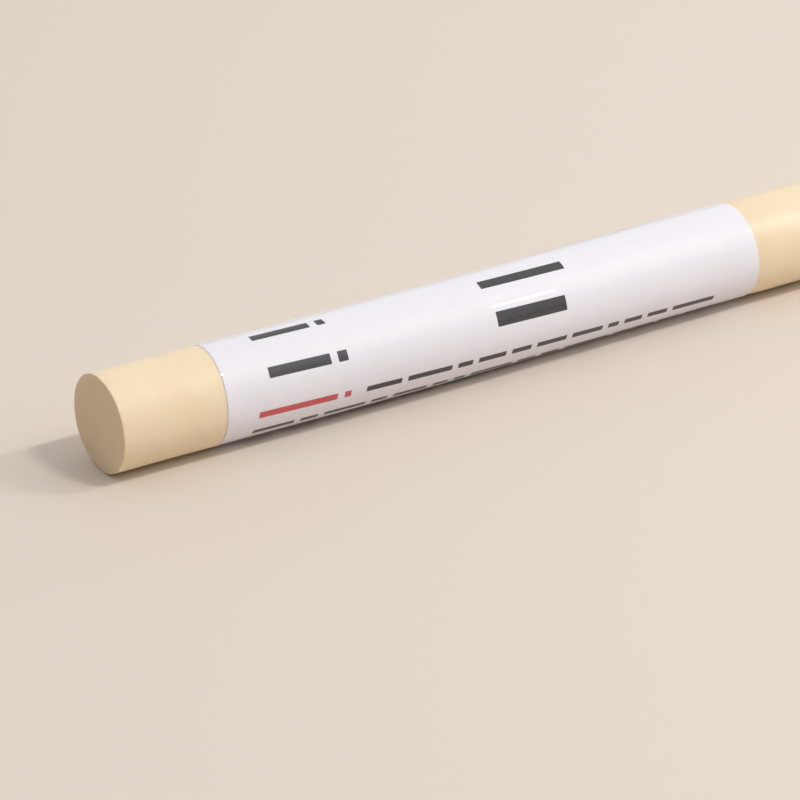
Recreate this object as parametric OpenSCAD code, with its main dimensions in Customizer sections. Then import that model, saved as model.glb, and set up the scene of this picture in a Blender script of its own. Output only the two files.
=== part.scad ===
// Furniture repair wax stick: a round bar of hard filler wax, cut square at both ends,
// with a printed self-adhesive label wrapped once round its middle.
// The stick lies along X on the plane Z = 0, its near end towards -X, its middle over the origin.
// All sizes are in millimetres.

/* [Wax stick] */
// Diameter of the wax bar
stick_d = 10.8; // [8:0.1:16]
// Length of the wax bar, from end face to end face
stick_len = 95; // [85:1:150]
// Rounding of the cut rim at each end
rim_r = 0.2; // [0.1:0.05:1]

/* [Label] */
// Length of the label along the stick
label_len = 70; // [20:1:80]
// Bare wax between the near end face and the label
near_bare = 12.7; // [5:0.1:20]
// How far the label laps over its own first edge
lap = 4; // [1:0.5:8]
// Place of the hidden first edge, in degrees from the underside up the back
first_edge_deg = 62; // [0:1:359]
// Bend of the sheet where it leaves the wax to climb over that edge, in degrees
crease_deg = 3; // [2:0.5:8]
// Thickness of the adhesive coat
adhesive_t = 0.025; // [0.02:0.005:0.06]
// Thickness of the face paper
paper_t = 0.08; // [0.05:0.01:0.2]
// Thickness of the clear film over the print
film_t = 0.025; // [0.02:0.005:0.06]

/* [Hidden] */
$fn = 180;

stick_r = stick_d / 2;
paper_r = stick_r + adhesive_t;
film_r = paper_r + paper_t;
label_r = film_r + film_t;

// The sheet is pulled taut over its own first edge: it bends up off the wax, runs straight, and is
// lap_rise times as far out where it reaches that edge.
lap_rise = label_r / stick_r;
bridge_deg = acos(cos(crease_deg) / lap_rise);
lap_deg = lap / label_r * 180 / PI;
lap_end_deg = first_edge_deg + lap_deg;

// The stick rests on the label: on its single turn, or on the lap where that lies underneath.
lap_off_bottom_deg = lap_end_deg >= 360 ? 0 : min(first_edge_deg, 360 - lap_end_deg);
axis_h = max(label_r, label_r * lap_rise * cos(lap_off_bottom_deg));

near_x = -stick_len / 2;

// Shapes that only cut the label's section reach this far out, well clear of the stick.
clear_of_stick = 3 * stick_d;
slice_step_deg = 30;
// The hidden stretch below the lap runs on into the open turn by this much, so that the two are one.
hidden_run_on_deg = 10;

// Lays a shape built along +Z from z = 0 along the stick, start_x from the middle.
// The shape's own +X then points down and its +Y to the back.
module laid(start_x) {
    translate([start_x, 0, axis_h])
        rotate([0, 90, 0])
            children();
}

// Half of the bar's section, with a rounded rim at both ends
module bar_profile() {
    square([stick_r - rim_r, stick_len]);
    translate([0, rim_r])
        square([stick_r, stick_len - 2 * rim_r]);
    for (y = [rim_r, stick_len - rim_r])
        translate([stick_r - rim_r, y])
            circle(rim_r);
}

// A slice of the plane round the stick's axis
module slice(from_deg, to_deg) {
    steps = ceil((to_deg - from_deg) / slice_step_deg);
    turns = [for (i = [0:steps]) from_deg + (to_deg - from_deg) * i / steps];
    polygon(concat([[0, 0]], [for (a = turns) clear_of_stick * [cos(a), sin(a)]]));
}

// The area inside one face of the wound sheet, where r is that face's radius on its first turn
module wound_area(r) {
    straight_x = r * cos(crease_deg);
    circle(r);
    rotate(first_edge_deg - bridge_deg)
        intersection() {
            circle(r * lap_rise);
            slice(0, bridge_deg + lap_deg);
            translate([straight_x - 2 * clear_of_stick, -clear_of_stick])
                square(2 * clear_of_stick);
        }
}

// One layer of the label: its turn round the stick with the lap, and the hidden stretch below the lap
module wrapped_layer(inner_r, t) {
    linear_extrude(label_len) {
        difference() {
            wound_area(inner_r + t);
            wound_area(inner_r);
        }
        intersection() {
            difference() {
                circle(inner_r + t);
                circle(inner_r);
            }
            slice(first_edge_deg, lap_end_deg + hidden_run_on_deg);
        }
    }
}

module wax_stick() {
    color([0.97, 0.88, 0.73])
        laid(near_x)
            rotate_extrude()
                bar_profile();
}

module label_adhesive() {
    color([0.93, 0.91, 0.84])
        laid(near_x + near_bare)
            wrapped_layer(stick_r, adhesive_t);
}

module label_paper() {
    color([0.94, 0.93, 0.95])
        laid(near_x + near_bare)
            wrapped_layer(paper_r, paper_t);
}

module label_film() {
    color([0.96, 0.96, 0.98, 0.5])
        laid(near_x + near_bare)
            wrapped_layer(film_r, film_t);
}

wax_stick();
label_adhesive();
label_paper();
label_film();
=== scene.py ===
import math
import random

import bmesh
import bpy
from mathutils import Matrix, Vector, noise


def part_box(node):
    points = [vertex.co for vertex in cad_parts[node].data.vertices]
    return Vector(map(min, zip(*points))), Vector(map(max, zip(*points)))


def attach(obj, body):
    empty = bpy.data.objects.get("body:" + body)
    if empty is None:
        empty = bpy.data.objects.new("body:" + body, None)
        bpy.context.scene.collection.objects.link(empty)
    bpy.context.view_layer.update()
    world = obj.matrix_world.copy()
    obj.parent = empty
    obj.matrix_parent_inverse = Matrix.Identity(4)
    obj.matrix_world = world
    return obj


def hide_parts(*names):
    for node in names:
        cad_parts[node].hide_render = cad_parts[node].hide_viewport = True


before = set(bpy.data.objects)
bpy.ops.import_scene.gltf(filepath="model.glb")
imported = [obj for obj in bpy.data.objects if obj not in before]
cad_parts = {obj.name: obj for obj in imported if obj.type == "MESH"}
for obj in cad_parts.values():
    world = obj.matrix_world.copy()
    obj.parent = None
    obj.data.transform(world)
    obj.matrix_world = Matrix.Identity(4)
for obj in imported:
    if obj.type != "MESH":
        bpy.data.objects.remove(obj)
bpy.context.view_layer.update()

# Wax stick
# A bar of hard filler wax, cast round, a little bowed, and cut square at both ends with a blade. Its satin
# skin has faint draw lines and is rubbed duller at the near end; the cut faces are dull, with a broken rim.
MM = 0.001
wax_low, wax_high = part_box("wax_stick")
wax_r = (wax_high.z - wax_low.z) / 2
axis_z = (wax_high.z + wax_low.z) / 2
wax_sides = 180
wax_ring_gap = 0.4 * MM
wax_lump = 0.025 * MM
wax_lump_size = 7 * MM
draw_line_depth = 0.003 * MM
draw_line_width = 0.55 * MM
draw_line_run = 70 * MM
merge_gap = 0.001 * MM
rim_r = 0.1 * MM
rim_steps = 3
rim_angle = math.radians(60)
rim_depth = 2 * rim_r
rim_nick = 0.06 * MM
rim_nick_size = 0.9 * MM
rim_nick_start = 0.1
rim_nick_reach = 4 * rim_r
end_ring_gap = 0.45 * MM
end_lump = 0.04 * MM
end_lump_size = 2.6 * MM
end_lump_reach = 1.5 * rim_r
cut_facing = 0.9
SKIN, CUT = 0, 1
label_low, label_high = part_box("label_film")
bare_swell = 0.12 * MM
groove_steps = (-0.03 * MM, 0, 0.03 * MM, 0.06 * MM, 0.1 * MM, 0.16 * MM, 0.24 * MM)
shallow_groove, deep_groove = 0.06 * MM, 0.14 * MM
shallow_side = math.radians(185)
far_slope = 3 * MM
stick_bow = 0.5 * MM
bow_middle = -8 * MM
bow_half = 45 * MM
near_edge_askew = 0.31 * MM
near_edge_shift = 0.086 * MM
near_edge_side = math.radians(297)
near_edge_fade = label_low.x - wax_low.x
sharp_angle = math.radians(40)


def from_axis(point):
    """The part of a point's place that lies across the stick."""
    return Vector((0, point.y, point.z - axis_z))


def side_of(point):
    """A point's angle round the stick, from the underside by way of the back and the top."""
    return math.atan2(point.y, axis_z - point.z)


def as_bowed(point):
    """Where a point of the straight stick lies on the bowed one, with the label's near edge askew."""
    fade = max(0, 1 - abs(point.x - label_low.x) / near_edge_fade)
    askew = near_edge_shift - near_edge_askew * math.cos(side_of(point) - near_edge_side)
    x = point.x + fade * askew
    along = (x - bow_middle) / bow_half
    bow = stick_bow * math.cos(along * math.pi / 2) ** 2 if abs(along) < 1 else 0
    return Vector((x, point.y - bow, point.z))


def to_piece(name, shape, *finishes):
    """Makes a finished bmesh a piece of the stick in these materials, smooth but for its cut edges."""
    for vert in shape.verts:
        vert.co = as_bowed(vert.co)
    mesh = bpy.data.meshes.new(name)
    for face in shape.faces:
        face.smooth = True
    shape.to_mesh(mesh)
    shape.free()
    mesh.set_sharp_from_angle(angle=sharp_angle)
    for finish in finishes:
        mesh.materials.append(finish)
    piece = bpy.data.objects.new(name, mesh)
    bpy.context.scene.collection.objects.link(piece)
    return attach(piece, "root")


bar = bmesh.new()
near_middle = bar.verts.new((wax_low.x, 0, axis_z))
near_rim = bar.verts.new((wax_low.x, 0, wax_low.z))
far_rim = bar.verts.new((wax_high.x, 0, wax_low.z))
far_middle = bar.verts.new((wax_high.x, 0, axis_z))
near_cut = bar.edges.new((near_middle, near_rim))
side = bar.edges.new((near_rim, far_rim))
far_cut = bar.edges.new((far_rim, far_middle))
bmesh.ops.subdivide_edges(bar, edges=[side], cuts=round((wax_high.x - wax_low.x) / wax_ring_gap))
bmesh.ops.subdivide_edges(bar, edges=[near_cut, far_cut], cuts=round(wax_r / end_ring_gap))
for step in groove_steps:
    for x in (label_low.x - step, label_high.x + step):
        bmesh.ops.bisect_plane(bar, geom=bar.verts[:] + bar.edges[:], plane_co=(x, 0, 0),
                               plane_no=(1, 0, 0))
bmesh.ops.spin(bar, geom=bar.verts[:] + bar.edges[:], cent=(0, 0, axis_z), axis=(1, 0, 0),
               angle=2 * math.pi, steps=wax_sides, use_merge=True)
bmesh.ops.remove_doubles(bar, verts=bar.verts[:], dist=merge_gap)
bmesh.ops.recalc_face_normals(bar, faces=bar.faces[:])
rims = [edge for edge in bar.edges if edge.calc_face_angle(0) > rim_angle]
bmesh.ops.bevel(bar, geom=rims, offset=rim_r, offset_type="OFFSET", segments=rim_steps, profile=0.5,
                affect="EDGES", material=-1)
for vert in bar.verts:
    across = from_axis(vert.co)
    outward = across.normalized()
    end_gap = min(vert.co.x - wax_low.x, wax_high.x - vert.co.x)
    if across.length > wax_r - rim_depth:
        line = Vector((vert.co.x / draw_line_run, *(outward * wax_r / draw_line_width).yz))
        out = wax_lump * noise.noise(vert.co / wax_lump_size) + draw_line_depth * noise.noise(line)
        near_bare, far_bare = label_low.x - vert.co.x, vert.co.x - label_high.x
        if near_bare > 0:
            deepening = (1 - math.cos(side_of(vert.co) - shallow_side)) / 2
            groove = shallow_groove + (deep_groove - shallow_groove) * deepening
            out += bare_swell * math.sin(min(1, near_bare / groove) * math.pi / 2)
        if far_bare > 0:
            out += bare_swell * math.sin(min(1, far_bare / far_slope) * math.pi / 2)
        if end_gap < rim_nick_reach:
            out -= rim_nick * max(0, noise.noise(vert.co / rim_nick_size) - rim_nick_start)
        vert.co += outward * out
    if end_gap < end_lump_reach:
        vert.co.x += end_lump * noise.noise(vert.co / end_lump_size)
for face in bar.faces:
    face.material_index = CUT if abs(face.normal.x) > cut_facing else SKIN


def add_node(material, kind, **settings):
    """Adds one node to a material and sets its fields and, by the socket's name, its plain inputs."""
    made = material.node_tree.nodes.new(kind)
    for key, value in settings.items():
        if key in made.inputs:
            made.inputs[key].default_value = value
        else:
            setattr(made, key, value)
    return made


def new_finish(name, **settings):
    """A material whose shader has these fixed values, with its shader and its linking call."""
    material = bpy.data.materials.new(name)
    material.use_nodes = True
    shader = material.node_tree.nodes["Principled BSDF"]
    for key, value in settings.items():
        shader.inputs[key].default_value = value
    return material, shader, material.node_tree.links.new


def two_tones(material, place, light, deep, size, detail, roughness=0.5, spread=(0, 1)):
    """A cloudy colour of two tones in patches of this size; spread is where one turns into the other."""
    link = material.node_tree.links.new
    cloud = add_node(material, "ShaderNodeTexNoise", Scale=1 / size, Detail=detail, Roughness=roughness)
    tone = add_node(material, "ShaderNodeValToRGB")
    for stop, position, colour in zip(tone.color_ramp.elements, spread, (deep, light)):
        stop.position = position
        stop.color = (*colour, 1)
    link(place, cloud.inputs["Vector"])
    link(cloud.outputs["Fac"], tone.inputs["Fac"])
    return tone.outputs["Color"]


def wax_finish(name, light, deep, smooth, rough, rubbed, stretch, grain_size, grain_height):
    """Cream wax, a little translucent. rubbed dulls its near end, and stretch draws its grain out."""
    wax, shader, link = new_finish(name, **{
        "Subsurface Weight": 0.3, "Subsurface Radius": (1.0, 0.62, 0.36), "Subsurface Scale": 0.9 * MM,
        "IOR": 1.44, "Specular IOR Level": 0.5})
    place = add_node(wax, "ShaderNodeTexCoord").outputs["Object"]
    mottle = two_tones(wax, place, light, deep, size=5 * MM, detail=4.0, roughness=0.55,
                       spread=(0.32, 0.68))
    link(mottle, shader.inputs["Base Color"])
    turned = add_node(wax, "ShaderNodeMapping", Scale=stretch)
    grain = add_node(wax, "ShaderNodeTexNoise", Scale=1 / grain_size, Detail=3.0)
    link(place, turned.inputs["Vector"])
    link(turned.outputs["Vector"], grain.inputs["Vector"])
    gloss = add_node(wax, "ShaderNodeMapRange", **{"To Min": smooth, "To Max": rough})
    link(grain.outputs["Fac"], gloss.inputs["Value"])
    along = add_node(wax, "ShaderNodeSeparateXYZ")
    wear = add_node(wax, "ShaderNodeMapRange", **{
        "From Min": label_low.x, "From Max": label_high.x, "To Min": rubbed, "To Max": 0})
    dullness = add_node(wax, "ShaderNodeMath", operation="ADD")
    link(place, along.inputs["Vector"])
    link(along.outputs["X"], wear.inputs["Value"])
    link(gloss.outputs["Result"], dullness.inputs[0])
    link(wear.outputs["Result"], dullness.inputs[1])
    link(dullness.outputs["Value"], shader.inputs["Roughness"])
    relief = add_node(wax, "ShaderNodeBump", Strength=1.0, Distance=grain_height)
    link(grain.outputs["Fac"], relief.inputs["Height"])
    link(relief.outputs["Normal"], shader.inputs["Normal"])
    return wax


wax_skin = wax_finish("drawn wax skin", light=(0.858, 0.701, 0.486), deep=(0.834, 0.666, 0.45),
                      smooth=0.34, rough=0.44, rubbed=0.14, stretch=(0.05, 1, 1),
                      grain_size=0.5 * MM, grain_height=0.02 * MM)
# The cut wax is set a little darker than the skin's wax: painted shade, as on the near end face.
cut_wax_shaded = wax_finish("cut wax with painted shade", light=(0.838, 0.67, 0.455), deep=(0.808, 0.636, 0.424),
                     smooth=0.5, rough=0.65, rubbed=0, stretch=(1, 1, 0.12),
                     grain_size=0.3 * MM, grain_height=0.015 * MM)
wax_stick = to_piece("cream_wax_bar", bar, wax_skin, cut_wax_shaded)
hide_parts("wax_stick")

# Label adhesive
# The pressure-sensitive coat on the back of the label. It holds the label to the wax and, at the lap, to
# itself. Rolling presses a hairline of it out along both ends; its grey-brown tint is painted shade.
label_r = axis_z - label_low.z
paper_r = axis_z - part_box("label_adhesive")[0].z
first_edge = math.radians(62)
lap = 4 * MM
lap_turn = lap / label_r
lap_rise = label_r / wax_r
crease = math.radians(3)
bridge = math.acos(math.cos(crease) / lap_rise)
sheet_turn = 2 * math.pi + lap_turn
sheet_columns = 100
sheet_rows = 190
ripple_height = 0.012 * MM
ripple_size = 5 * MM
squeeze_out = 0.02 * MM
press_side = math.radians(170)
press_change = 0.6


def on_sheet(x, turn, r):
    """A place on the wound label: turn runs from its hidden first edge, and r is its first radius."""
    climb = turn - (2 * math.pi - bridge)
    if climb > crease:
        r *= min(lap_rise, math.cos(crease) / math.cos(climb))
    angle = first_edge + turn
    point = Vector((x, r * math.sin(angle), axis_z - r * math.cos(angle)))
    return point + from_axis(point).normalized() * ripple_height * noise.noise(point / ripple_size)


def wound_sheet(low_x, high_x, outer_r, thickness, edge_steps=(), edge_drop=0):
    """A sheet wound round the stick with its lap. Its ends roll off by edge_drop over the edge steps."""
    sheet = bmesh.new()
    bmesh.ops.create_grid(sheet, x_segments=sheet_columns, y_segments=sheet_rows, size=0.5)
    length = high_x - low_x
    for step in edge_steps:
        for x in (step / length - 0.5, 0.5 - step / length):
            bmesh.ops.bisect_plane(sheet, geom=sheet.verts[:] + sheet.edges[:] + sheet.faces[:],
                                   plane_co=(x, 0, 0), plane_no=(1, 0, 0))
    for vert in sheet.verts:
        x = low_x + (vert.co.x + 0.5) * length
        turn = (vert.co.y + 0.5) * sheet_turn
        end_gap = min(x - low_x, high_x - x)
        drop = 0
        if edge_steps and end_gap < edge_steps[-1]:
            pressed = 1 + press_change * math.cos(first_edge + turn - press_side)
            drop = edge_drop * pressed * (1 - math.sqrt(1 - (1 - end_gap / edge_steps[-1]) ** 2))
        vert.co = on_sheet(x, turn, outer_r - drop)
    bmesh.ops.recalc_face_normals(sheet, faces=sheet.faces[:])
    if sheet.faces[0].normal.dot(from_axis(sheet.faces[0].calc_center_median())) < 0:
        bmesh.ops.reverse_faces(sheet, faces=sheet.faces[:])
    bmesh.ops.solidify(sheet, geom=sheet.faces[:], thickness=thickness)
    return sheet


glue, shader, link = new_finish("label adhesive tinted as painted edge shade", **{"IOR": 1.47, "Roughness": 0.5})
place = add_node(glue, "ShaderNodeTexCoord").outputs["Object"]
# The grey-brown tones are painted shade, darkening the hairline of adhesive at the label's ends.
edge_shade_tint = two_tones(glue, place, light=(0.82, 0.70, 0.55), deep=(0.66, 0.55, 0.43), size=0.6 * MM,
                 detail=3.0)
link(edge_shade_tint, shader.inputs["Base Color"])
coat = wound_sheet(label_low.x - squeeze_out, label_high.x + squeeze_out, paper_r, paper_r - wax_r)
label_adhesive = to_piece("label_adhesive_coat", coat, glue)
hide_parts("label_adhesive")

# Label
# White face paper under a clear gloss film, laid together and cut as one sheet, then wound once round the
# stick and lapped over its first edge at the back. Its cut ends roll off, and the near one is askew.
label_edge_steps = (0.01 * MM, 0.025 * MM, 0.045 * MM, 0.07 * MM)
label_edge_drop = 0.02 * MM
film_gloss = {"Coat Weight": 0.6, "Coat Roughness": 0.025, "Coat IOR": 1.5}


def paper_finish(name, light, deep, tooth_size, tooth_height):
    """Smooth white face paper seen through the gloss film."""
    paper, shader, link = new_finish(name, **{"Roughness": 0.55, "Specular IOR Level": 0.3}, **film_gloss)
    place = add_node(paper, "ShaderNodeTexCoord").outputs["Object"]
    cloud = two_tones(paper, place, light, deep, size=2.2 * MM, detail=5.0, roughness=0.6,
                      spread=(0.3, 0.7))
    link(cloud, shader.inputs["Base Color"])
    tooth = add_node(paper, "ShaderNodeTexNoise", Scale=1 / tooth_size, Detail=2.0)
    relief = add_node(paper, "ShaderNodeBump", Strength=1.0, Distance=tooth_height)
    link(place, tooth.inputs["Vector"])
    link(tooth.outputs["Fac"], relief.inputs["Height"])
    link(relief.outputs["Normal"], shader.inputs["Normal"])
    return paper


label_paper = paper_finish("filmed label paper", light=(0.81, 0.779, 0.824), deep=(0.79, 0.759, 0.805),
                           tooth_size=0.35 * MM, tooth_height=0.004 * MM)
sheet = wound_sheet(label_low.x, label_high.x, label_r, label_r - paper_r, label_edge_steps,
                    label_edge_drop)
label = to_piece("wound_label", sheet, label_paper)
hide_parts("label_paper", "label_film")

# Label print
# Ink laid on the face paper before the film: plain bars in dark grey, and one in red, that stand in lines
# as print does. The sheet was laid a little askew, so the lines drift down along the stick.
print_skew = math.radians(1.6)
ink_lift = 0.004 * MM
ink_cell_u = 1.0 * MM
ink_cell_v = 0.3 * MM
ink_corner = 0.08 * MM
ink_corner_steps = 3
top_turn = math.pi - first_edge
DARK, RED = 0, 1
heads = ((0.2, 5.5, 7.2, 1.0, DARK), (5.1, 5.6, 7.6, 1.2, DARK), (9.6, 4.1, 9.6, 0.8, RED))
head_gap = 0.9 * MM
values = ((0.7, 34, 11, 1.2), (5.2, 34.4, 9.2, 1.7))
lines = ((-4.3, 12, 58), (9.6, 17.4, 66.6), (12.2, 3.9, 66.2), (14.8, 3.9, 66.4), (17.4, 3.9, 66),
         (20.0, 3.9, 38))
line_height = 0.7 * MM
word_gap = 0.8 * MM
shortest_word, longest_word = 1.4 * MM, 6.2 * MM
word_lengths = random.Random(5)


def print_bar(ink, u, v, length, height, finish):
    """One bar of ink, at u along the label from its near end and v down from its top line."""
    bar = bmesh.new()
    bmesh.ops.create_grid(bar, x_segments=math.ceil(length / ink_cell_u),
                          y_segments=math.ceil(height / ink_cell_v), size=0.5)
    bmesh.ops.scale(bar, vec=(length, height, 1), verts=bar.verts[:])
    corners = [vert for vert in bar.verts if len(vert.link_edges) == 2]
    bmesh.ops.bevel(bar, geom=corners, offset=ink_corner, offset_type="OFFSET", segments=ink_corner_steps,
                    profile=0.5, affect="VERTICES", material=-1)
    middle = Vector((u + length / 2, v, 0))
    for vert in bar.verts:
        flat = Matrix.Rotation(print_skew, 3, "Z") @ (middle + vert.co)
        vert.co = on_sheet(label_low.x + flat.x, top_turn + flat.y / label_r, label_r + ink_lift)
    for face in bar.faces:
        face.material_index = finish
    mesh = bpy.data.meshes.new("bar")
    bar.to_mesh(mesh)
    bar.free()
    ink.from_mesh(mesh)
    bpy.data.meshes.remove(mesh)


ink = bmesh.new()
for v, u, length, height, finish in heads:
    print_bar(ink, u * MM, v * MM, length * MM, height * MM, finish)
    print_bar(ink, (u + length) * MM + head_gap, v * MM, height * MM, height * MM, finish)
for v, u, length, height in values:
    print_bar(ink, u * MM, v * MM, length * MM, height * MM, DARK)
for v, start, end in lines:
    u = start * MM
    while u + shortest_word < end * MM:
        length = min(word_lengths.uniform(shortest_word, longest_word), end * MM - u)
        print_bar(ink, u, v * MM, length, line_height, DARK)
        u += length + word_gap
bmesh.ops.recalc_face_normals(ink, faces=ink.faces[:])
for face in ink.faces:
    if face.normal.dot(from_axis(face.calc_center_median())) < 0:
        face.normal_flip()
bmesh.ops.solidify(ink, geom=ink.faces[:], thickness=ink_lift)


def ink_finish(name, light, deep):
    """Offset ink on smooth paper, a little uneven in its cover, under the film."""
    ink, shader, link = new_finish(name, **{"Roughness": 0.5, "Specular IOR Level": 0.3}, **film_gloss)
    place = add_node(ink, "ShaderNodeTexCoord").outputs["Object"]
    cover = two_tones(ink, place, light, deep, size=0.4 * MM, detail=4.0)
    link(cover, shader.inputs["Base Color"])
    return ink


dark_ink = ink_finish("dark grey ink", light=(0.06, 0.053, 0.057), deep=(0.032, 0.028, 0.032))
red_ink = ink_finish("red ink", light=(0.62, 0.10, 0.10), deep=(0.52, 0.065, 0.07))
label_print = to_piece("label_print", ink, dark_ink, red_ink)

# Floor
# A plain pale table top under the stick.
floor_half = 2.0
floor_shape = bmesh.new()
bmesh.ops.create_grid(floor_shape, x_segments=1, y_segments=1, size=floor_half)
floor_mesh = bpy.data.meshes.new("floor")
floor_shape.to_mesh(floor_mesh)
floor_shape.free()
floor_finish = new_finish("pale table top", **{
    "Base Color": (0.705, 0.62, 0.537, 1), "Roughness": 0.6, "Specular IOR Level": 0.3})[0]
floor_mesh.materials.append(floor_finish)
floor = bpy.data.objects.new("floor", floor_mesh)
bpy.context.scene.collection.objects.link(floor)

# Light
# A bright studio: even panels overhead, on the right, behind and low in front, a soft box on the front
# right, two lamps high in front for the crisp shadow, and a thin strip whose image lies on the film.
lamp_distance = 0.9
stick_middle = Vector((0, 0, axis_z))
high_lamps = (("high front lamp", Vector((0.3, -0.418, 0.857)), 0.12, 2.05),
              ("high right lamp", Vector((0.66, -0.329, 0.675)), 0.14, 1.35))
high_lamp_depth = 0.06
glare = Vector((4 * MM, -4.3 * MM, 8.9 * MM))
soft_box_place = glare + lamp_distance * Vector((0.527, -0.586, 0.616))
glint_place = glare + lamp_distance * Vector((0.527, -0.511, 0.679))
upright = (0, 0, 1)


def light_panel(name, place, aim, up, width, height, power):
    """A rectangular lamp at this place that faces the point it aims at; its height runs along up."""
    lamp = bpy.data.lights.new(name, "AREA")
    lamp.shape = "RECTANGLE"
    lamp.size = width
    lamp.size_y = height
    lamp.energy = power
    holder = bpy.data.objects.new(name, lamp)
    away = (Vector(place) - Vector(aim)).normalized()
    across = Vector(up).cross(away).normalized()
    facing = Matrix((across, away.cross(across), away)).transposed()
    holder.matrix_world = Matrix.Translation(place) @ facing.to_4x4()
    holder.visible_camera = False
    bpy.context.scene.collection.objects.link(holder)


light_panel("ceiling panel", (0, 0, 0.9), (0, 0, 0), (0, 1, 0), width=2.4, height=2.4, power=12.4)
light_panel("right panel", (1.2, 0, 0.5), (0, 0, 0.5), upright, width=2.4, height=0.8, power=8.6)
light_panel("back panel", (0, 1.2, 0.5), (0, 0, 0.5), upright, width=2.4, height=0.8, power=5.2)
light_panel("low front panel", (0, -1.2, 0.15), (0, 0, 0.15), upright, width=2.4, height=0.3, power=1.5)
light_panel("soft box", soft_box_place, glare, upright, width=0.8, height=0.8, power=1.5)
for name, way, length, power in high_lamps:
    light_panel(name, stick_middle + lamp_distance * way, stick_middle, (0, way.z, -way.y),
                width=length, height=high_lamp_depth, power=power)
light_panel("glint strip", glint_place, glare, (0, 1, 1), width=0.027, height=0.05, power=0.16)
room = bpy.data.worlds.new("pale room")
room.use_nodes = True
backdrop = room.node_tree.nodes["Background"]
backdrop.inputs["Color"].default_value = (0.98, 0.985, 1.0, 1)
backdrop.inputs["Strength"].default_value = 0.02
bpy.context.scene.world = room
bpy.context.scene.view_settings.view_transform = "Standard"

# Camera
# A long lens from the near left, a little above, as the photograph was taken.
camera_azimuth = math.radians(-32.553)
camera_elevation = math.radians(26.371)
camera_distance = 469.5 * MM
camera_aim = Vector((-17.60 * MM, -12.30 * MM, axis_z))
image_side_px = 800
focal_px = 4394
camera_data = bpy.data.cameras.new("camera")
camera_data.lens = focal_px / image_side_px * camera_data.sensor_width
camera = bpy.data.objects.new("camera", camera_data)
back = Vector((math.sin(camera_azimuth) * math.cos(camera_elevation),
               -math.cos(camera_azimuth) * math.cos(camera_elevation), math.sin(camera_elevation)))
right = Vector((math.cos(camera_azimuth), math.sin(camera_azimuth), 0))
turned = Matrix((right, back.cross(right), back)).transposed()
camera.matrix_world = Matrix.Translation(camera_aim + back * camera_distance) @ turned.to_4x4()
bpy.context.scene.collection.objects.link(camera)
bpy.context.scene.camera = camera
